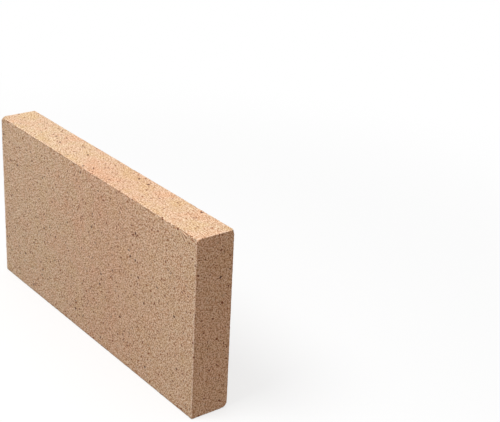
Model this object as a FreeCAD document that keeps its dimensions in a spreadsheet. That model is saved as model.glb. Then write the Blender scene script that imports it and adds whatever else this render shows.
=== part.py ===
import FreeCAD, Part
import os
import Sketcher
from FreeCAD import Vector

# A dry-pressed fireclay split, 9 x 4 1/2 x 1 in, standing on its long narrow side.
# One fired piece. Its origin is the middle of the side it stands on: +X runs along its length towards
# the end that is seen, +Y through its thickness away from the broad front face, +Z up.
# Handling has broken its arrises: flakes are off the upper front one, and four corners are worn round.

sizes = {
    "brick_length": 228.6,
    "brick_thickness": 25.4,
    "brick_height": 114.3,
    "arris_radius": 0.4,
    # half size of the hollow that a flake leaves, over the flake's reach: more makes it shallower
    "flake_hollow": 3.5,
    # half size of a worn corner's crown, over how far the wear reaches: more makes it flatter
    "corner_crown": 2.46,
}

# Flakes off the upper front arris, each a shallow shell-shaped hollow: how far its middle is from the
# seen end, its run along the arris, its reach back over the top and its drop down the front.
flakes = {
    "end_flake": {"place": 4.8, "run": 4.6, "reach": 1.0, "drop": 0.9},
    "scraped_flake": {"place": 12.4, "run": 9.0, "reach": 1.2, "drop": 1.7},
    "deep_nick": {"place": 20.9, "run": 3.2, "reach": 1.1, "drop": 1.8},
    "long_flake": {"place": 31.4, "run": 12.0, "reach": 0.9, "drop": 0.8},
    "dark_nick": {"place": 40.4, "run": 2.6, "reach": 0.9, "drop": 1.6},
    "quarter_nick": {"place": 69.5, "run": 3.0, "reach": 1.2, "drop": 1.0},
    "middle_nick": {"place": 85.5, "run": 2.8, "reach": 0.9, "drop": 1.2},
    "small_flake": {"place": 110.0, "run": 3.8, "reach": 1.0, "drop": 0.9},
    "middle_flake": {"place": 122.0, "run": 6.4, "reach": 1.2, "drop": 1.3},
}

# Worn corners: the end, broad face and narrow side that each is on, and how far the wear reaches
# from the corner along the brick, across its thickness and up or down it.
corner_sides = {
    "lower_back_corner": ("seen", "back", "bottom"),
    "upper_back_corner": ("seen", "back", "top"),
    "upper_front_corner": ("seen", "front", "top"),
    "far_front_corner": ("far", "front", "top"),
}
positive_sides = ("seen", "back", "top")
corners = {
    "lower_back_corner": {"along": 3.4, "across": 3.4, "upright": 3.6},
    "upper_back_corner": {"along": 1.8, "across": 2.0, "upright": 4.6},
    "upper_front_corner": {"along": 2.2, "across": 3.2, "upright": 1.8},
    "far_front_corner": {"along": 6.5, "across": 3.4, "upright": 2.8},
}

doc = FreeCAD.newDocument("firebrick")
sheet = doc.addObject("Spreadsheet::Sheet", "Sizes")


def fill_sheet(values):
    for row, (name, value) in enumerate(values.items(), start=1):
        sheet.set(f"A{row}", name)
        sheet.set(f"B{row}", str(value))
        sheet.setAlias(f"B{row}", name)
    doc.recompute()


def group_sizes(groups):
    return {f"{name}_{key}": value for name, group in groups.items() for key, value in group.items()}


fill_sheet({**sizes, **group_sizes(flakes), **group_sizes(corners)})


def bind(thing, expressions):
    for prop, expression in expressions.items():
        thing.setExpression(prop, expression)


def new_body(name):
    body = doc.addObject("PartDesign::Body", name)
    body.Label = name
    return body


def origin_plane(body, role):
    return next(plane for plane in body.Origin.OriginFeatures if plane.Role == role)


# The footprint is a rectangle drawn about the origin, on the plane that the brick stands on.
def draw_footprint(body):
    sketch = body.newObject("Sketcher::SketchObject", "Footprint")
    sketch.AttachmentSupport = [(origin_plane(body, "XY_Plane"), "")]
    sketch.MapMode = "FlatFace"
    half_length = sizes["brick_length"] / 2
    half_thickness = sizes["brick_thickness"] / 2
    front_left = Vector(-half_length, -half_thickness, 0)
    front_right = Vector(half_length, -half_thickness, 0)
    back_right = Vector(half_length, half_thickness, 0)
    back_left = Vector(-half_length, half_thickness, 0)
    loop = [front_left, front_right, back_right, back_left]
    for side, point in enumerate(loop):
        sketch.addGeometry(Part.LineSegment(point, loop[(side + 1) % len(loop)]), False)
    front, right, back, left = range(len(loop))
    start, end = 1, 2
    for side, following in ((front, right), (right, back), (back, left), (left, front)):
        sketch.addConstraint(Sketcher.Constraint("Coincident", side, end, following, start))
    for side, direction in ((front, "Horizontal"), (back, "Horizontal"), (right, "Vertical"), (left, "Vertical")):
        sketch.addConstraint(Sketcher.Constraint(direction, side))
    sketch.addConstraint(Sketcher.Constraint("Symmetric", front, start, back, start, -1, 1))
    length_row = sketch.addConstraint(
        Sketcher.Constraint("DistanceX", front, start, front, end, sizes["brick_length"])
    )
    thickness_row = sketch.addConstraint(
        Sketcher.Constraint("DistanceY", right, start, right, end, sizes["brick_thickness"])
    )
    bind(sketch, {
        f"Constraints[{length_row}]": "Sizes.brick_length",
        f"Constraints[{thickness_row}]": "Sizes.brick_thickness",
    })
    return sketch


# The pressed blank, and every arris eased a little as pressing and firing leave it.
def press_blank(body):
    blank = body.newObject("PartDesign::Pad", "PressedBlank")
    blank.Profile = draw_footprint(body)
    bind(blank, {"Length": "Sizes.brick_height"})
    doc.recompute()
    eased = body.newObject("PartDesign::Fillet", "EasedArrises")
    eased.Base = (blank, [f"Edge{number}" for number in range(1, len(blank.Shape.Edges) + 1)])
    bind(eased, {"Radius": "Sizes.arris_radius"})
    doc.recompute()


def place_ellipsoid(ellipsoid, centre, half_sizes):
    x, y, z = centre
    along, across, upright = half_sizes
    bind(ellipsoid, {
        "Placement.Base.x": x,
        "Placement.Base.y": y,
        "Placement.Base.z": z,
        "Radius1": upright,
        "Radius2": along,
        "Radius3": across,
    })


# A flake is cut by an ellipsoid whose middle stands off both faces by the same share of its half sizes.
# That share follows from how hollow the flake is, and the ellipsoid's length from the flake's run.
def spall_flake(body, name):
    hollow = "Sizes.flake_hollow"
    standoff = f"((sqrt(2 - 1 / {hollow} ^ 2) - 1 / {hollow}) / 2)"
    half_run = f"(Sizes.{name}_run / 2 / sqrt(1 - 2 * {standoff} ^ 2))"
    half_reach = f"(Sizes.{name}_reach * {hollow})"
    half_drop = f"(Sizes.{name}_drop * {hollow})"
    flake = body.newObject("PartDesign::SubtractiveEllipsoid", name)
    centre = (
        f"Sizes.brick_length / 2 - Sizes.{name}_place",
        f"-Sizes.brick_thickness / 2 - {standoff} * {half_reach}",
        f"Sizes.brick_height + {standoff} * {half_drop}",
    )
    place_ellipsoid(flake, centre, (half_run, half_reach, half_drop))
    doc.recompute()


# A worn corner is what a rounded crown leaves of the square corner: a block that holds the corner,
# less an ellipsoid set inside all three faces, is taken off the brick.
def wear_corner(body, name):
    crown = "Sizes.corner_crown"
    inset = f"((1 + sqrt(3 * {crown} ^ 2 - 2)) / 3)"
    reaches = [f"Sizes.{name}_{key}" for key in ("along", "across", "upright")]
    faces = ["Sizes.brick_length / 2", "Sizes.brick_thickness / 2", "Sizes.brick_height / 2"]
    middles = ["0", "0", "Sizes.brick_height / 2"]
    centre = []
    low = []
    for side, middle, face, reach in zip(corner_sides[name], middles, faces, reaches):
        positive = side in positive_sides
        centre.append(f"{middle} {'+' if positive else '-'} ({face} - {inset} * {reach})")
        low.append(centre[-1] if positive else f"{middle} - {face} - {reach}")
    spans = [f"({inset} + 1) * {reach}" for reach in reaches]

    waste = new_body(f"{name}_waste")
    block = waste.newObject("PartDesign::AdditiveBox", f"{name}_block")
    bind(block, dict(zip(("Placement.Base.x", "Placement.Base.y", "Placement.Base.z"), low)))
    bind(block, dict(zip(("Length", "Width", "Height"), spans)))
    doc.recompute()
    rounded = waste.newObject("PartDesign::SubtractiveEllipsoid", f"{name}_crown")
    place_ellipsoid(rounded, centre, [f"{crown} * {reach}" for reach in reaches])
    doc.recompute()

    worn = body.newObject("PartDesign::Boolean", name)
    worn.Type = "Cut"
    worn.setObjects([waste])
    doc.recompute()


# Each cut has to take something off, or its hollow has missed the brick.
def cut_and_compare(body, cut, name):
    before = body.Shape.Volume
    cut(body, name)
    taken = before - body.Shape.Volume
    if taken <= 0:
        raise RuntimeError(f"{name} takes nothing off the brick")
    print(f"{name} takes off {taken:.2f} mm3")


def check_and_export(body):
    for thing in doc.Objects:
        if "Invalid" in thing.State or "Error" in thing.State:
            raise RuntimeError(f"{thing.Name} has failed: {thing.State}")
    shape = body.Shape
    if shape.isNull() or not shape.isValid() or len(shape.Solids) != 1:
        raise RuntimeError(f"{body.Label} is not one valid solid")
    os.makedirs("parts", exist_ok=True)
    shape.exportStep(f"parts/{body.Label}.step")
    box = shape.optimalBoundingBox()
    print(f"{body.Label}: {box.XLength:.2f} x {box.YLength:.2f} x {box.ZLength:.2f} mm, {shape.Volume:.0f} mm3")


brick = new_body("firebrick")
press_blank(brick)
for name in flakes:
    cut_and_compare(brick, spall_flake, name)
for name in corners:
    cut_and_compare(brick, wear_corner, name)
doc.recompute()
check_and_export(brick)
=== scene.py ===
import math

import bpy
import numpy as np
from mathutils import Matrix, Vector, noise


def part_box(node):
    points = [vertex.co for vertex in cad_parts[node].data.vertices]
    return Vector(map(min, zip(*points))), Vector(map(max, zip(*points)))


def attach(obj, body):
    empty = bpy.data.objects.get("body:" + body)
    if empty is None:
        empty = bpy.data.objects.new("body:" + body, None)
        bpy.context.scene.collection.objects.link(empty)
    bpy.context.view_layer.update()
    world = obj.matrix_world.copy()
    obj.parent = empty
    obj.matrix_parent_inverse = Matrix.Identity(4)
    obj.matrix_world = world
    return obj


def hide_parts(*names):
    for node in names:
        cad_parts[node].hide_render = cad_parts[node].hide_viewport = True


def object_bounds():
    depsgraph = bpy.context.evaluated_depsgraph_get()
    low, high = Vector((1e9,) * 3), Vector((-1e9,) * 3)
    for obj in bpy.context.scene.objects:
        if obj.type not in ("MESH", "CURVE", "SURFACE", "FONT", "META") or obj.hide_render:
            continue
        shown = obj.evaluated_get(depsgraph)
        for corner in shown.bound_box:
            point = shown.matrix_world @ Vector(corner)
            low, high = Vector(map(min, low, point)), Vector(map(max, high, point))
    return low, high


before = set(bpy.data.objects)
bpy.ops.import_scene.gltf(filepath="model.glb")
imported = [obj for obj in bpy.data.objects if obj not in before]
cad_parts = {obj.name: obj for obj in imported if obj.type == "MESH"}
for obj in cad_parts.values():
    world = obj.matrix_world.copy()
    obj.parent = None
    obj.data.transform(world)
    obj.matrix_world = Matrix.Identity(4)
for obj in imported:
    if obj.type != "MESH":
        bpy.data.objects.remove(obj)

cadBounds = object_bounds()
mm = 0.001


def report(stage):
    print(f"firebrick: {stage}")


# Colours are written as sRGB hex and turned linear here, once.
def linear(hexColour):
    channels = [int(hexColour[i:i + 2], 16) / 255 for i in (1, 3, 5)]
    return [c / 12.92 if c <= 0.04045 else ((c + 0.055) / 1.055) ** 2.4 for c in channels] + [1.0]


white = linear("#ffffff")


# Adds one node of any kind. sockets maps an input's name, or its number where names repeat, to a value or
# to the output that feeds it: a whole node feeds from the first output that it shows. stops are a ramp's,
# each a position and a colour.
def addNode(tree, kind, sockets=None, stops=(), **settings):
    node = tree.nodes.new(kind)
    for name, value in settings.items():
        setattr(node, name, value)
    for key, value in (sockets or {}).items():
        if isinstance(key, int):
            socket = node.inputs[key]
        else:
            socket = next(s for s in node.inputs if s.enabled and s.name == key)
        if isinstance(value, bpy.types.Node):
            value = next(output for output in value.outputs if output.enabled)
        if isinstance(value, bpy.types.NodeSocket):
            tree.links.new(value, socket)
        else:
            socket.default_value = value
    if stops:
        ramp = node.color_ramp.elements
        while len(ramp) < len(stops):
            ramp.new(0.5)  # anywhere: its place is set next
        for stop, (position, colour) in zip(ramp, stops):
            stop.position = position
            stop.color = linear(colour)
    return node


def newMaterial(name):
    material = bpy.data.materials.new(name)
    material.use_nodes = True
    material.node_tree.nodes.clear()
    return material, material.node_tree


# 0 up to the first limit and 1 from the second, with a soft run between; the limits may fall.
def smoothStep(start, full, values):
    t = np.clip((values - start) / (full - start), 0, 1)
    return t * t * (3 - 2 * t)


# 1 where there is no distance, falling off like a bell over a reach in mm.
def bell(distance, reach):
    return np.exp(-(distance / (reach * mm)) ** 2)


# The camera stands where the photograph's did: right of the brick's front and looking down on it.
cameraPlace = {
    "azimuth": 51.4,            # degrees round from the front face towards the seen end
    "elevation": 23.7,
    "roll": 2.9,
    "distance": 0.765,          # metres from the brick's middle, along the view
    "aside": (0.0903, 0.0256),  # metres from the brick's middle to the view's, right and up
    "lens": 87.6,               # mm, on Blender's own 36 mm sensor
}


def placeCamera():
    place = cameraPlace
    azimuth, elevation, roll = (math.radians(place[key]) for key in ("azimuth", "elevation", "roll"))
    back = Vector((
        math.sin(azimuth) * math.cos(elevation),
        -math.cos(azimuth) * math.cos(elevation),
        math.sin(elevation),
    ))
    level = Vector((math.cos(azimuth), math.sin(azimuth), 0))
    upright = back.cross(level)
    right = level * math.cos(roll) + upright * math.sin(roll)
    up = upright * math.cos(roll) - level * math.sin(roll)
    low, high = cadBounds
    middle = (low + high) / 2
    asideRight, asideUp = place["aside"]
    spot = middle + back * place["distance"] + right * asideRight + up * asideUp
    camera = bpy.data.objects.new("camera", bpy.data.cameras.new("camera"))
    camera.data.lens = place["lens"]
    camera.data.dof.use_dof = False
    camera.matrix_world = Matrix.Translation(spot) @ Matrix((right, up, back)).transposed().to_4x4()
    bpy.context.collection.objects.link(camera)
    bpy.context.scene.camera = camera


placeCamera()
report("camera placed")


# The brick is fireclay and crushed grog, pressed nearly dry and fired. Its skin is one closed grid laid
# over the box of the solid and drawn in onto it, so that the flakes and worn corners are the solid's own.
# The fine relief is then cut inwards from there. Sizes are in mm and angles in degrees.
firebrick = {
    # the grid is finest at the arrises, which are crisp and crumbled, and gets finer towards the seen end
    "grid": {
        "seed": 7,
        "arrisStep": 0.15,           # the first step in from each arris
        "growth": 1.24,              # each step over the one before it, up to the face's own
        "alongStep": (1.25, 0.60),   # at the far and the seen end
        "acrossStep": (0.95, 0.95),
        "uprightStep": (1.10, 1.10),
        "scrapedStep": 0.42,         # below the top, as far down as the front face is scraped
        "scrapedBand": 6.4,
        "unevenness": 0.22,          # how far a point is moved off its grid line, as a share of the step
        "islandGap": 3.0,            # between the faces in the flat layout
    },
    # where a value is called noise, it is the pattern's seed and how many octaves it has
    "relief": {
        "seed": 11,
        "sag": 0.10, "sagWidth": 45.0,        # faces a little out of flat from pressing and firing
        "sagNoise": (1, 1),
        "grain": 0.06, "grainWidth": 1.8,     # coarse grog under the skin
        "grainNoise": (2, 3),
        "sand": 0.05,                         # from one grid point to the next, about 1 mm apart
        "pits": 700, "pitWidth": (0.6, 1.4),
        "pitDepth": (0.10, 0.32),
        "pitReach": 1.5,                      # how far out a pit's bowl runs, in half widths
        "ragged": 0.12, "raggedWidth": 2.4,   # arrises crumbled back
        "raggedReach": 0.9,
        "frontRagged": 0.30,                  # more of it on the upper front arris
        "biteNoise": (3, 4),                  # the crumbling comes and goes: its mean level, its swing,
        "biteLevel": 0.35, "biteSwing": 0.5,  # and the level where it is full
        "biteFull": 0.7,
        "rubNoise": (5, 2),                   # rubbed arrises with their painted highlight, and the dust and painted shade lines, come and go too
        "rubLevel": 0.6, "rubSwing": 0.9,
        "rubbedReach": 0.55,                  # how far in from their long arrises narrow sides are rubbed, partly a painted highlight
        "endRubbedReach": 1.1,                # the same at the ends of narrow sides and broad faces, and how much more they are rubbed and painted with a highlight there
        "endRubbingAndHighlight": 1.7,                    # and how much more they are rubbed there
        "lipFrom": 0.75, "lipWidth": 0.5,     # where dust and painted shade lie, in from the crumbled arrises
        "lipByFacing": (0.5, 1.5, 0.0),       # how much of it on ends, broad faces and narrow sides
        "farCornerShadeReach": 4.5, "farCornerShade": 1.1,        # painted shade darkens the far corner of the upper front arris too
        "faceFrom": 0.9, "faceFull": 0.5,     # where an end's or a broad face's finish starts and is full
    },
    # scrapes fan out from a knock on the upper front arris, down the front face towards the seen end
    "scrapes": {
        "fromEnd": 17.9, "aboveArris": 0.2,   # the fan's middle, from the seen end and the unworn arris
        "firstGroove": 5.0, "between": 20.0,  # the topmost groove's slant, and the angle between grooves
        "from": 0.6, "to": 9.4,               # how far out from the fan's middle they run
        "fadeIn": 1.5, "fadeOut": 1.6,        # over what length they start and end
        "lowest": 57.0, "sideFade": 6.0,      # the lowest slant, and the angle over which the sides fade
        "depth": 0.26,
        "skinDeep": 1.6,                      # how far behind the front face's plane they still reach
    },
}


# The places, in from an arris, of lines whose steps grow up to the face's own, but no longer than the held
# step in the held band.
def stepsFrom(step, heldStep, heldBand):
    grid = firebrick["grid"]
    places, length = [0.0], grid["arrisStep"]
    while length < step:
        places.append(places[-1] + length)
        length *= grid["growth"]
        if places[-1] < heldBand:
            length = min(length, heldStep)
    return np.array(places) * mm


# The grid's lines along one axis, with the steps wanted at its low and its high end.
def gridLines(low, high, steps, heldBand):
    first, last = (step * mm for step in steps)
    lowPlaces = stepsFrom(steps[0], steps[0], 0)
    highPlaces = stepsFrom(steps[1], firebrick["grid"]["scrapedStep"], heldBand)
    start = low + lowPlaces[-1]
    span = high - low - lowPlaces[-1] - highPlaces[-1]
    # steps that grow evenly with the distance: as many as the mean step gives
    mean = (first + last) / 2
    share = np.linspace(0, 1, round(span / mean) + 1)
    inner = start + span * (first * share + (last - first) * share ** 2 / 2) / mean
    return np.concatenate([low + lowPlaces[:-1], inner, high - highPlaces[-2::-1]])


# Moves the grid's points a little along their own face, so that no rows show in the grain.
def unevenPoints(lattice, lines):
    grid = firebrick["grid"]
    random = np.random.default_rng(grid["seed"])
    points = []
    for axis, line in enumerate(lines):
        index = lattice[:, axis]
        step = np.minimum(np.diff(line, prepend=line[0]), np.diff(line, append=line[-1]))
        points.append(line[index] + step[index] * grid["unevenness"] * random.uniform(-1, 1, len(index)))
    return np.stack(points, axis=1)


# Six faces of one lattice share the points along their arrises. Each face also gets its own island of
# the flat layout that the finish is baked to, at the same scale, with a gap between islands.
def buildSkin(low, high):
    grid = firebrick["grid"]
    steps = [grid[key] for key in ("alongStep", "acrossStep", "uprightStep")]
    heldBands = (0, 0, grid["scrapedBand"])
    lines = [gridLines(low[axis], high[axis], steps[axis], heldBands[axis]) for axis in range(3)]
    counts = [len(line) for line in lines]
    pointOf = np.full(counts, -1, dtype=np.int32)
    shell = np.zeros(counts, dtype=bool)
    for axis in range(3):
        for end in (0, -1):
            shell[tuple(end if a == axis else slice(None) for a in range(3))] = True
    pointOf[shell] = np.arange(shell.sum())
    lattice = np.argwhere(shell)
    points = unevenPoints(lattice, lines)

    gap = grid["islandGap"] * mm
    alongSpan, acrossSpan, uprightSpan = (high[axis] - low[axis] for axis in range(3))
    # each face: the axis it stands across, its end of that axis, the two axes that it is drawn with, and
    # its corner in the layout
    layout = [
        (1, 0, (0, 2), (gap, gap)),
        (1, -1, (0, 2), (gap, 2 * gap + uprightSpan)),
        (2, 0, (0, 1), (gap, 3 * gap + 2 * uprightSpan)),
        (2, -1, (0, 1), (gap, 4 * gap + 2 * uprightSpan + acrossSpan)),
        (0, 0, (1, 2), (2 * gap + alongSpan, gap)),
        (0, -1, (1, 2), (2 * gap + alongSpan, 2 * gap + uprightSpan)),
    ]
    sheetSide = max(3 * gap + alongSpan + acrossSpan, 5 * gap + 2 * (uprightSpan + acrossSpan))
    faces, places = [], []
    for axis, end, (u, v), corner in layout:
        i, j = np.meshgrid(np.arange(counts[u] - 1), np.arange(counts[v] - 1), indexing="ij")
        ring, spots = [], []
        for di, dj in ((0, 0), (1, 0), (1, 1), (0, 1)):
            index = [None, None, None]
            index[axis] = np.full(i.shape, 0 if end == 0 else counts[axis] - 1)
            index[u], index[v] = i + di, j + dj
            ring.append(pointOf[tuple(index)].ravel())
            spot = [lines[u][i + di] - low[u] + corner[0], lines[v][j + dj] - low[v] + corner[1]]
            spots.append(np.stack([part.ravel() for part in spot], axis=1) / sheetSide)
        # the ring turns from u to v, so its normal is u x v: it is turned round where that points inwards
        outwards = 1 if end == -1 else -1
        turn = 1 if (axis, u, v) in ((2, 0, 1), (0, 1, 2), (1, 2, 0)) else -1
        order = (0, 1, 2, 3) if outwards * turn > 0 else (0, 3, 2, 1)
        faces.append(np.stack([ring[k] for k in order], axis=1))
        places.append(np.stack([spots[k] for k in order], axis=1))
    return points, np.concatenate(faces), np.concatenate(places)


# A mesh of four-cornered faces, with its places in the flat layout.
def meshFrom(name, points, faces, places):
    mesh = bpy.data.meshes.new(name)
    mesh.vertices.add(len(points))
    mesh.vertices.foreach_set("co", points.ravel())
    mesh.loops.add(faces.size)
    mesh.loops.foreach_set("vertex_index", faces.ravel())
    mesh.polygons.add(len(faces))
    mesh.polygons.foreach_set("loop_start", np.arange(0, faces.size, faces.shape[1]))
    mesh.update(calc_edges=True)
    flat = mesh.uv_layers.new(name="OFBake")
    flat.data.foreach_set("uv", places.ravel())
    mesh.validate()
    return mesh


def pointsOf(mesh):
    points = np.empty(len(mesh.vertices) * 3)
    mesh.vertices.foreach_get("co", points)
    return points.reshape(-1, 3)


def normalsOf(mesh):
    normals = np.empty(len(mesh.vertices) * 3)
    mesh.vertex_normals.foreach_get("vector", normals)
    return normals.reshape(-1, 3)


# Draws a mesh in onto the solid, each point to the nearest place on it.
def drawOnto(mesh, node):
    piece = bpy.data.objects.new("skin", mesh)
    bpy.context.collection.objects.link(piece)
    wrap = piece.modifiers.new("onto the solid", "SHRINKWRAP")
    wrap.target = node
    wrap.wrap_method = "NEAREST_SURFACEPOINT"
    wrapped = bpy.data.meshes.new_from_object(piece.evaluated_get(bpy.context.evaluated_depsgraph_get()))
    bpy.data.objects.remove(piece)
    return wrapped


# Blender's fractal noise at each point, about -1 to 1, with its usual smoothness and lacunarity. width is
# one bump's, in mm, and each seed reads the noise so many bumps away from the one before it.
seedStep = (13.7, 7.1, 3.3)
smoothness = 1.0
lacunarity = 2.0


def noiseAt(points, width, seed, octaves):
    offset = Vector([seed * step for step in seedStep])
    scale = 1 / (width * mm)
    places = [Vector(point) * scale + offset for point in points]
    return np.array([noise.fractal(place, smoothness, lacunarity, octaves) for place in places])


# Each point's distances in from the box's nearest faces along X, Y and Z.
def insetFrom(points, low, high):
    return np.minimum(points - np.array(low), np.array(high) - points)


# Where the fan of scrapes is, and at each point which groove it is in: whole numbers lie on the grooves.
def scrapeFan(points, low, high):
    s = firebrick["scrapes"]
    along = points[:, 0] - (high[0] - s["fromEnd"] * mm)
    # down the front, counted over the arris from the top
    down = (high[2] - points[:, 2]) - (points[:, 1] - low[1]) + s["aboveArris"] * mm
    out = np.hypot(along, down)
    slant = np.degrees(np.arctan2(down, along))
    fan = smoothStep(s["from"] * mm, (s["from"] + s["fadeIn"]) * mm, out)
    fan *= smoothStep(s["to"] * mm, (s["to"] - s["fadeOut"]) * mm, out)
    fan *= smoothStep(s["lowest"], s["lowest"] - s["sideFade"], slant) * smoothStep(0, s["sideFade"], slant)
    fan *= points[:, 1] < low[1] + s["skinDeep"] * mm
    return fan, (slant - s["firstGroove"]) / s["between"]


# How deep each point lies in a pit, in mm.
def pitsAt(points, random):
    r = firebrick["relief"]
    pit = np.zeros(len(points))
    for centre in random.integers(0, len(points), r["pits"]):
        reach = random.uniform(*r["pitWidth"]) * mm / 2 * r["pitReach"]
        deep = random.uniform(*r["pitDepth"])
        near = np.flatnonzero(np.abs(points - points[centre]).max(axis=1) < reach)
        away = np.linalg.norm(points[near] - points[centre], axis=1)
        bowl = np.clip(1 - (away / reach) ** 2, 0, 1)
        pit[near] = np.maximum(pit[near], bowl * deep)
    return pit


# How much the arrises have crumbled back at each point, in mm.
def crumbledAt(points, inset, low, high):
    r = firebrick["relief"]
    fromArris = np.maximum(np.sort(inset, axis=1)[:, 1], 0)
    nearArris = np.exp(-fromArris / (r["raggedReach"] * mm))
    fromUpperFront = np.hypot(points[:, 1] - low[1], points[:, 2] - high[2])
    nearUpperFront = np.exp(-fromUpperFront / (r["raggedReach"] * mm))
    level = noiseAt(points, r["raggedWidth"], *r["biteNoise"]) * r["biteSwing"] + r["biteLevel"]
    bites = smoothStep(0.0, r["biteFull"], level)
    return (r["ragged"] * nearArris + r["frontRagged"] * nearUpperFront) * bites


# What the finish reads from the shape. Narrow sides are rubbed paler along their long arrises, and both
# they and broad faces at their ends, partly as a painted highlight. Dust and painted shade lie in a line
# inside the broad faces' long arrises and round the ends, and painted shade on the far corner.
def finishMarks(points, inset, low, high):
    r = firebrick["relief"]
    facing = np.argmin(inset, axis=1)  # 0 on an end, 1 on a broad face, 2 on a narrow side
    x, y, z = inset.T
    nowhere = np.full(len(points), np.inf)
    rubbedAndHighlit = np.maximum(
        bell(np.choose(facing, [nowhere, nowhere, y]), r["rubbedReach"]),
        bell(np.choose(facing, [nowhere, x, x]), r["endRubbedReach"]) * r["endRubbingAndHighlight"],
    )
    level = r["rubLevel"] + r["rubSwing"] * noiseAt(points, r["raggedWidth"], *r["rubNoise"])
    uneven = np.clip(level, 0, 1)
    fromLip = np.choose(facing, [np.minimum(y, z), z, nowhere]) - r["lipFrom"] * mm
    lipDustAndShade = bell(fromLip, r["lipWidth"]) * uneven * np.choose(facing, r["lipByFacing"])
    # painted shade on the far corner
    farCorner = np.array((low[0], low[1], high[2]))
    farCornerShade = bell(np.linalg.norm(points - farCorner, axis=1), r["farCornerShadeReach"]) * r["farCornerShade"]
    faceEdge = (r["faceFrom"] * mm, r["faceFull"] * mm)
    return {
        "rubbedAndHighlit": rubbedAndHighlit * uneven,
        "lipDustAndShade": np.maximum(lipDustAndShade, farCornerShade),
        "end": smoothStep(*faceEdge, x),
        "broad": smoothStep(*faceEdge, y),
    }


# Cuts the relief into the skin and leaves the finish's marks on its points.
def roughen(mesh, low, high):
    r = firebrick["relief"]
    random = np.random.default_rng(r["seed"])
    points, normals = pointsOf(mesh), normalsOf(mesh)
    inset = insetFrom(points, low, high)
    # noise of about -1 to 1 is halved and lifted to 0 to 1
    sag = r["sag"] * (0.5 + 0.5 * noiseAt(points, r["sagWidth"], *r["sagNoise"]))
    grain = r["grain"] * np.clip(0.5 + 0.5 * noiseAt(points, r["grainWidth"], *r["grainNoise"]), 0, 1)
    sand = r["sand"] * random.random(len(points))
    pit = pitsAt(points, random)
    scraped, groove = scrapeFan(points, low, high)
    grooves = scraped * firebrick["scrapes"]["depth"] * (0.5 + 0.5 * np.cos(groove * 2 * np.pi))
    depth = sag + grain + sand
    depth += crumbledAt(points, inset, low, high)
    depth += pit + grooves

    marks = finishMarks(points, inset, low, high)
    marks["pit"] = np.clip(pit / r["pitDepth"][1], 0, 1)
    marks["scraped"] = scraped
    marks["groove"] = groove
    mesh.vertices.foreach_set("co", (points - normals * (depth * mm)[:, None]).ravel())
    for name, values in marks.items():
        mark = mesh.attributes.new(name, "FLOAT", "POINT")
        mark.data.foreach_set("value", values.astype(np.float32))
    mesh.update()


# Fired dry-pressed fireclay: an unglazed, matt, sandy buff body. Its sand and crushed grog show as paler
# and darker grains, iron in the clay as small dark brown specks, and uneven firing as faint pink and straw
# patches and a redder middle.
fireclay = {
    "clay": "#d8b898",
    "grainWidth": 0.45,          # mm, one grain; real sand is finer, and would not show
    "grainShades": [             # from the darkest to the palest grain, with where each starts
        (0.12, "#80411b"),
        (0.34, "#b78151"),
        (0.50, "#d9b898"),
        (0.66, "#ebd5ba"),
        (0.88, "#f6e6d2"),
    ],
    # mm, sand between the grains. An even share of all three of the brick's sizes, so that every face cuts
    # the noise in a plane of its own lattice, where it is finest
    "sandWidth": 25.4 / 30,
    "sandRange": (0.33, 0.67),   # the stretch of its noise that gives all the shades
    "sandShare": 0.85,           # how much of a grain's shade it gives; the rest is the grain's own lot
    "grainCore": 1.22,           # a grain's middle and the clay round it, as shares of the grain's colour
    "betweenGrains": 0.92,
    "coreRange": (0.15, 0.75),   # how far out the one starts to turn into the other, and where it has
    # how much grains and patches stand out on the narrow sides, the broad faces and the ends
    "grainContrast": (0.62, 0.77, 0.69),
    "patchContrast": (1.0, 0.45, 0.35),
    "scrapedContrast": 0.30,     # of the grains where the scrapes have smeared them
    "ironSpots": [               # by size: mm between places, mm across, share of places with one, colour
        (1.6, 0.90, 0.16, "#8a4414"),
        (3.0, 1.35, 0.28, "#74320a"),
        (7.0, 1.80, 0.34, "#501c04"),
    ],
    "spotEdge": (1.1, 0.8),      # where a spot starts and is full, in half widths from its middle
    "spotRaggedness": 1.3,       # how uneven its outline is, in half widths
    "patchWidth": 14.0,          # mm, a patch of one shade
    "patchShift": 90.0,          # mm, moves the patches along the brick
    "pinkPatch": "#fff2ea",
    "pinkRange": (0.47, 0.68),   # the levels of the patches' noise where pink starts and is full
    "strawPatch": "#fbf8e6",
    "strawRange": (0.53, 0.32),
    "firing": [                  # the kiln reddened the brick's middle: tints along it, from the far end
        (0.25, "#ffffff"),
        (0.58, "#fcf3f1"),
        (0.90, "#fffcfa"),
    ],
    "firingDrift": 0.35,         # how far the patches push those tints about, as a share of the length
    "mottle": 0.03,              # how much darker or paler the body is from place to place
    "mottleWidth": 4.5,
    "mottleRange": (0.3, 0.7),
    "broadFiringAndShadeTint": "#fffcfb",      # broad faces and ends a little browner and darker than the narrow sides: partly how they fire, partly painted shade
    "endFiringAndShadeTint": "#ffeee5",
    # rubbed arrises: partly worn paler, partly a painted highlight
    "rubbedArrisAndHighlight": "#ffeedb", "rubbedAndHighlightShare": 0.34,
    # a dark line inside the arrises: partly dust, partly painted shade
    "lipDustAndShadeColour": "#8a6040", "lipDustAndShadeShare": 0.42,
    "pitShade": "#64401f", "pitShare": 0.5,
    "groovePaintedShade": "#743c18", "grooveShadeShare": 0.85,   # scrapes: painted shade in their grooves, a painted highlight on their ridges
    "ridgeHighlight": "#f8d9bc", "ridgeHighlightShare": 0.5,
    "grainDepth": 0.12,          # mm, how far a grain stands up
    "dustWidth": 1.1,            # mm, the sandy skin's own relief
    "dustDepth": 0.08,
    "roughness": 0.93,
    "ior": 1.5,
}


# A value that differs between the narrow sides, the broad faces and the ends.
def byFace(tree, marks, values):
    narrow, broad, end = values
    side = addNode(tree, "ShaderNodeMix", {"Factor": marks["broad"], "A": narrow, "B": broad})
    return addNode(tree, "ShaderNodeMix", {"Factor": marks["end"], "A": side, "B": end})


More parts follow.
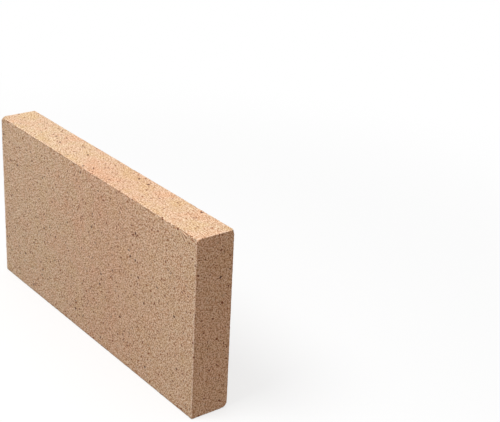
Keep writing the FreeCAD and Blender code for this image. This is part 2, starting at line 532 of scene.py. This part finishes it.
# Grains that each have their own shade, and are darker towards the clay round them.
def sandyBody(tree, place, sand, marks):
    f = fireclay
    grains = addNode(tree, "ShaderNodeTexVoronoi", {"Vector": place, "Scale": 1 / (f["grainWidth"] * mm)})
    # a cell's colour is its point's place in it, so a lot free of that place is drawn from the colour
    lot = addNode(tree, "ShaderNodeTexWhiteNoise", {"Vector": grains.outputs["Color"]}).outputs["Value"]
    low, high = f["sandRange"]
    sandLevel = addNode(tree, "ShaderNodeMapRange", {"Value": sand, "From Min": low, "From Max": high})
    level = addNode(tree, "ShaderNodeMix", {"Factor": f["sandShare"], "A": lot, "B": sandLevel})
    shade = addNode(tree, "ShaderNodeValToRGB", {"Fac": level}, f["grainShades"])
    coreFrom, coreTo = f["coreRange"]
    core = addNode(tree, "ShaderNodeMapRange", {
        "Value": grains.outputs["Distance"],
        "From Min": coreFrom,
        "From Max": coreTo,
        "To Min": f["grainCore"],
        "To Max": f["betweenGrains"],
    })
    grainColour = addNode(tree, "ShaderNodeMix", {"Factor": 1.0, "A": shade.outputs["Color"], "B": core},
                          data_type="RGBA", blend_type="MULTIPLY")
    contrast = addNode(tree, "ShaderNodeMix", {
        "Factor": marks["scraped"],
        "A": byFace(tree, marks, f["grainContrast"]),
        "B": f["scrapedContrast"],
    })
    body = addNode(tree, "ShaderNodeMix", {"Factor": contrast, "A": linear(f["clay"]), "B": grainColour},
                   data_type="RGBA", clamp_factor=False)
    return body, core


# What firing does to the body, from the patches to the whole brick, with painted shade on the broad faces
# and ends: tints that it is multiplied by.
def firingAndShadeTints(tree, place, marks):
    f = fireclay
    shift = (f["patchShift"] * mm, 0, 0)
    moved = addNode(tree, "ShaderNodeVectorMath", {0: place, 1: shift}, operation="ADD")
    patches = addNode(tree, "ShaderNodeTexNoise", {"Vector": moved, "Scale": 1 / (f["patchWidth"] * mm)})
    tints = []
    for tint, (start, full) in ((f["pinkPatch"], f["pinkRange"]), (f["strawPatch"], f["strawRange"])):
        share = addNode(tree, "ShaderNodeMapRange", {
            "Value": patches.outputs["Fac"],
            "From Min": start,
            "From Max": full,
            "To Max": byFace(tree, marks, f["patchContrast"]),
        })
        tints.append(addNode(tree, "ShaderNodeMix", {"Factor": share, "A": white, "B": linear(tint)},
                             data_type="RGBA"))

    low, high = cadBounds
    along = addNode(tree, "ShaderNodeMapRange", {
        "Value": addNode(tree, "ShaderNodeSeparateXYZ", {"Vector": place}).outputs["X"],
        "From Min": low[0],
        "From Max": high[0],
        "To Min": -f["firingDrift"] / 2,
        "To Max": 1 - f["firingDrift"] / 2,
    })
    drifted = addNode(tree, "ShaderNodeMath", {0: patches.outputs["Fac"], 1: f["firingDrift"], 2: along},
                      operation="MULTIPLY_ADD")
    tints.append(addNode(tree, "ShaderNodeValToRGB", {"Fac": drifted}, f["firing"]).outputs["Color"])

    mottle = addNode(tree, "ShaderNodeTexNoise", {"Vector": place, "Scale": 1 / (f["mottleWidth"] * mm)})
    mottleFrom, mottleTo = f["mottleRange"]
    tints.append(addNode(tree, "ShaderNodeMapRange", {
        "Value": mottle.outputs["Fac"],
        "From Min": mottleFrom,
        "From Max": mottleTo,
        "To Min": 1 - f["mottle"],
        "To Max": 1 + f["mottle"],
    }))
    # broad faces and ends: partly fired browner, partly painted shade
    for mark, tint in (("broad", f["broadFiringAndShadeTint"]), ("end", f["endFiringAndShadeTint"])):
        tints.append(addNode(tree, "ShaderNodeMix", {"Factor": marks[mark], "A": white, "B": linear(tint)},
                             data_type="RGBA"))
    return tints


# Rubbed arrises are paler, partly with a painted highlight; lips hold dust and painted shade, pits hold
# painted shade, and the scrapes have painted shade in their grooves and a painted highlight on their
# ridges.
def wornAndShadedBody(tree, body, marks):
    f = fireclay
    turns = addNode(tree, "ShaderNodeMath", {0: marks["groove"], 1: 2 * math.pi}, operation="MULTIPLY")
    dip = addNode(tree, "ShaderNodeMath", {0: turns}, operation="COSINE")
    crest = addNode(tree, "ShaderNodeMath", {0: dip, 1: -1.0}, operation="MULTIPLY")
    scraped = marks["scraped"]
    grooves = addNode(tree, "ShaderNodeMath", {0: scraped, 1: dip}, operation="MULTIPLY", use_clamp=True)
    ridges = addNode(tree, "ShaderNodeMath", {0: scraped, 1: crest}, operation="MULTIPLY", use_clamp=True)
    for mark, share, colour in (
        (marks["rubbedAndHighlit"], f["rubbedAndHighlightShare"], f["rubbedArrisAndHighlight"]),
        (marks["lipDustAndShade"], f["lipDustAndShadeShare"], f["lipDustAndShadeColour"]),
        (marks["pit"], f["pitShare"], f["pitShade"]),
        (grooves, f["grooveShadeShare"], f["groovePaintedShade"]),
        (ridges, f["ridgeHighlightShare"], f["ridgeHighlight"]),
    ):
        amount = addNode(tree, "ShaderNodeMath", {0: mark, 1: share}, operation="MULTIPLY")
        body = addNode(tree, "ShaderNodeMix", {"Factor": amount, "A": body, "B": linear(colour)},
                       data_type="RGBA")
    return body


# Iron in the clay melts to dark spots: some cells of each size hold one, ragged with the sand round it.
def spottedBody(tree, body, place, sand):
    f = fireclay
    for spacing, width, share, colour in f["ironSpots"]:
        cells = addNode(tree, "ShaderNodeTexVoronoi", {"Vector": place, "Scale": 1 / (spacing * mm)})
        lot = addNode(tree, "ShaderNodeTexWhiteNoise", {"Vector": cells.outputs["Color"]}).outputs["Value"]
        held = addNode(tree, "ShaderNodeMath", {0: lot, 1: share}, operation="LESS_THAN")
        radius = width / 2 / spacing
        ragged = radius * f["spotRaggedness"]
        out = addNode(tree, "ShaderNodeMath", {0: sand, 1: ragged, 2: cells.outputs["Distance"]},
                      operation="MULTIPLY_ADD")
        # the sand's noise is a half on average, so the ragged part is centred by half of its size
        edge, full = (radius * limit + ragged / 2 for limit in f["spotEdge"])
        inside = addNode(tree, "ShaderNodeMapRange", {"Value": out, "From Min": edge, "From Max": full})
        spot = addNode(tree, "ShaderNodeMath", {0: held, 1: inside}, operation="MULTIPLY")
        body = addNode(tree, "ShaderNodeMix", {"Factor": spot, "A": body, "B": linear(colour)},
                       data_type="RGBA")
    return body


def fireclayMaterial():
    f = fireclay
    material, tree = newMaterial("fired_pressed_fireclay")
    place = addNode(tree, "ShaderNodeTexCoord").outputs["Object"]
    marks = {}
    for name in ("rubbedAndHighlit", "lipDustAndShade", "pit", "scraped", "groove", "end", "broad"):
        marks[name] = addNode(tree, "ShaderNodeAttribute", attribute_name=name).outputs["Fac"]
    sandNoise = addNode(tree, "ShaderNodeTexNoise", {"Vector": place, "Scale": 1 / (f["sandWidth"] * mm)})
    sand = sandNoise.outputs["Fac"]

    body, core = sandyBody(tree, place, sand, marks)
    for tint in firingAndShadeTints(tree, place, marks):
        body = addNode(tree, "ShaderNodeMix", {"Factor": 1.0, "A": body, "B": tint},
                       data_type="RGBA", blend_type="MULTIPLY")
    body = wornAndShadedBody(tree, body, marks)
    body = spottedBody(tree, body, place, sand)

    dust = addNode(tree, "ShaderNodeTexNoise", {"Vector": place, "Scale": 1 / (f["dustWidth"] * mm)})
    dustBump = addNode(tree, "ShaderNodeBump", {
        "Height": dust.outputs["Fac"],
        "Distance": f["dustDepth"] * mm,
        "Strength": 1.0,
    })
    grainBump = addNode(tree, "ShaderNodeBump", {
        "Height": core,
        "Distance": f["grainDepth"] * mm,
        "Strength": 1.0,
        "Normal": dustBump,
    })
    shader = addNode(tree, "ShaderNodeBsdfPrincipled", {
        "Base Color": body,
        "Roughness": f["roughness"],
        "IOR": f["ior"],
        "Normal": grainBump,
    })
    addNode(tree, "ShaderNodeOutputMaterial", {"Surface": shader})
    return material


def makeFirebrick():
    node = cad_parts["firebrick"]
    low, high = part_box("firebrick")
    mesh = drawOnto(meshFrom("firebrick_skin", *buildSkin(low, high)), node)
    roughen(mesh, low, high)
    mesh.polygons.foreach_set("use_smooth", np.ones(len(mesh.polygons), dtype=bool))
    mesh.materials.clear()
    mesh.materials.append(fireclayMaterial())
    piece = bpy.data.objects.new("fired_firebrick", mesh)
    bpy.context.collection.objects.link(piece)
    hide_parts("firebrick")
    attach(piece, "root")
    report(f"{len(mesh.polygons) * 2} triangles, {len(mesh.vertices)} points")


makeFirebrick()
report("brick made")


# A plain pale floor under plain soft light. The camera sees the floor lifted towards white, all the way
# further out; near the brick enough is left of it to keep the soft shadow.
room = {
    "floorSize": 8.0,            # metres, as are the sizes below
    "floorColour": "#f8f8f8",
    "floorBounce": "#72706d",    # what the brick gets back from the floor
    "lift": 0.68,                # how far the floor is lifted near the brick
    "liftWidth": (0.20, 0.55),   # how far out from the brick's middle the lift starts to grow and is full
    "ambient": 0.67,
    "lampPower": 3.53,
    "lampWidth": 0.4,
    "lampFrom": (0.0, -0.475, 0.93),
    "lampDistance": 0.75,
}


# 1 where the camera sees a surface directly, mirrored or through glass, 0 where it only lights others.
def seenDirectly(tree):
    path = addNode(tree, "ShaderNodeLightPath").outputs
    seen = path["Is Camera Ray"]
    for way in ("Is Glossy Ray", "Is Transmission Ray"):
        seen = addNode(tree, "ShaderNodeMath", {0: seen, 1: path[way]}, operation="MAXIMUM")
    return seen


def layFloor():
    half = room["floorSize"] / 2
    mesh = bpy.data.meshes.new("floor")
    corners = [(-half, -half, 0), (half, -half, 0), (half, half, 0), (-half, half, 0)]
    mesh.from_pydata(corners, [], [(0, 1, 2, 3)])
    # matt white paper: it has no gloss, so it only takes the brick's shadow
    material, tree = newMaterial("matt_white_paper")
    seen = seenDirectly(tree)
    paper = addNode(tree, "ShaderNodeBsdfDiffuse", {"Color": linear(room["floorColour"])})
    glow = addNode(tree, "ShaderNodeEmission", {"Color": white, "Strength": 1.0})
    place = addNode(tree, "ShaderNodeTexCoord").outputs["Object"]
    away = addNode(tree, "ShaderNodeVectorMath", {0: place}, operation="LENGTH").outputs["Value"]
    near, far = room["liftWidth"]
    lift = addNode(tree, "ShaderNodeMapRange", {
        "Value": away,
        "From Min": near,
        "From Max": far,
        "To Min": room["lift"],
        "To Max": 1.0,
    }, interpolation_type="SMOOTHSTEP")
    lifted = addNode(tree, "ShaderNodeMixShader", {0: lift, 1: paper, 2: glow})
    bounce = addNode(tree, "ShaderNodeBsdfDiffuse", {"Color": linear(room["floorBounce"])})
    chosen = addNode(tree, "ShaderNodeMixShader", {0: seen, 1: bounce, 2: lifted})
    addNode(tree, "ShaderNodeOutputMaterial", {"Surface": chosen})
    mesh.materials.append(material)
    floor = bpy.data.objects.new("floor", mesh)
    bpy.context.collection.objects.link(floor)


def lightRoom():
    world = bpy.data.worlds.new("studio")
    world.use_nodes = True
    world.node_tree.nodes.clear()
    tree = world.node_tree
    around = addNode(tree, "ShaderNodeBackground", {"Color": white, "Strength": room["ambient"]})
    backdrop = addNode(tree, "ShaderNodeBackground", {"Color": white, "Strength": 1.0})
    chosen = addNode(tree, "ShaderNodeMixShader", {0: seenDirectly(tree), 1: around, 2: backdrop})
    addNode(tree, "ShaderNodeOutputWorld", {"Surface": chosen})
    bpy.context.scene.world = world

    lamp = bpy.data.objects.new("lamp", bpy.data.lights.new("lamp", "AREA"))
    lamp.data.shape = "DISK"
    lamp.data.size = room["lampWidth"]
    lamp.data.energy = room["lampPower"]
    towards = Vector(room["lampFrom"]).normalized()
    lamp.location = (cadBounds[0] + cadBounds[1]) / 2 + towards * room["lampDistance"]
    lamp.rotation_mode = "QUATERNION"
    lamp.rotation_quaternion = towards.to_track_quat("Z", "Y")
    bpy.context.collection.objects.link(lamp)


layFloor()
lightRoom()
bpy.context.scene.view_settings.view_transform = "Standard"
report("floor and lights set")
